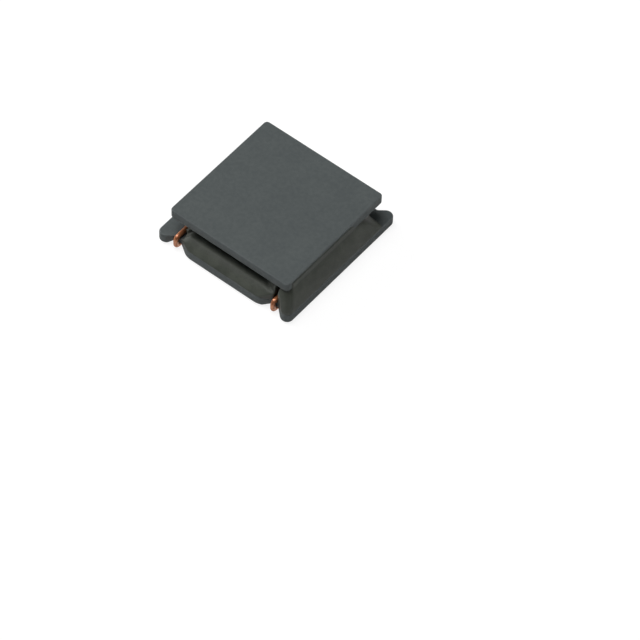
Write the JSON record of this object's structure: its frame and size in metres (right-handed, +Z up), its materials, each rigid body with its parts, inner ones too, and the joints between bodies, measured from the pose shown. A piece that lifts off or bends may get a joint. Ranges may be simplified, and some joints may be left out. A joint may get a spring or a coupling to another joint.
{
  "type": "shielded smd inductor",
  "caption": "Low square surface-mount power inductor: ferrite drum core, copper winding sealed with ferrite-filled resin, and soldered terminals underneath.",
  "frame": {"origin": "middle of the square footprint, on the plane of the terminals' undersides", "axes": "+Z up through the core's post; -Y is the front edge, where both leads bend over; +X to the right seen from the front"},
  "size_m": [0.004, 0.004, 0.0011],
  "materials": {
    "ferrite": "matte dark grey sintered ferrite",
    "enamelled_copper": "clear-enamelled copper wire, glossy",
    "ferrite_resin": "satin dark olive-grey ferrite-filled epoxy",
    "fired_silver": "matte fired silver",
    "solder": "matte tin solder, cloudy"
  },
  "bodies": {
    "root": {"drum_core": "ferrite", "copper_winding": "enamelled_copper", "shield_resin": "ferrite_resin", "electrode_base_left": "fired_silver", "electrode_base_right": "fired_silver", "solder_coat_left": "solder", "solder_coat_right": "solder"}
  },
  "joints": []
}
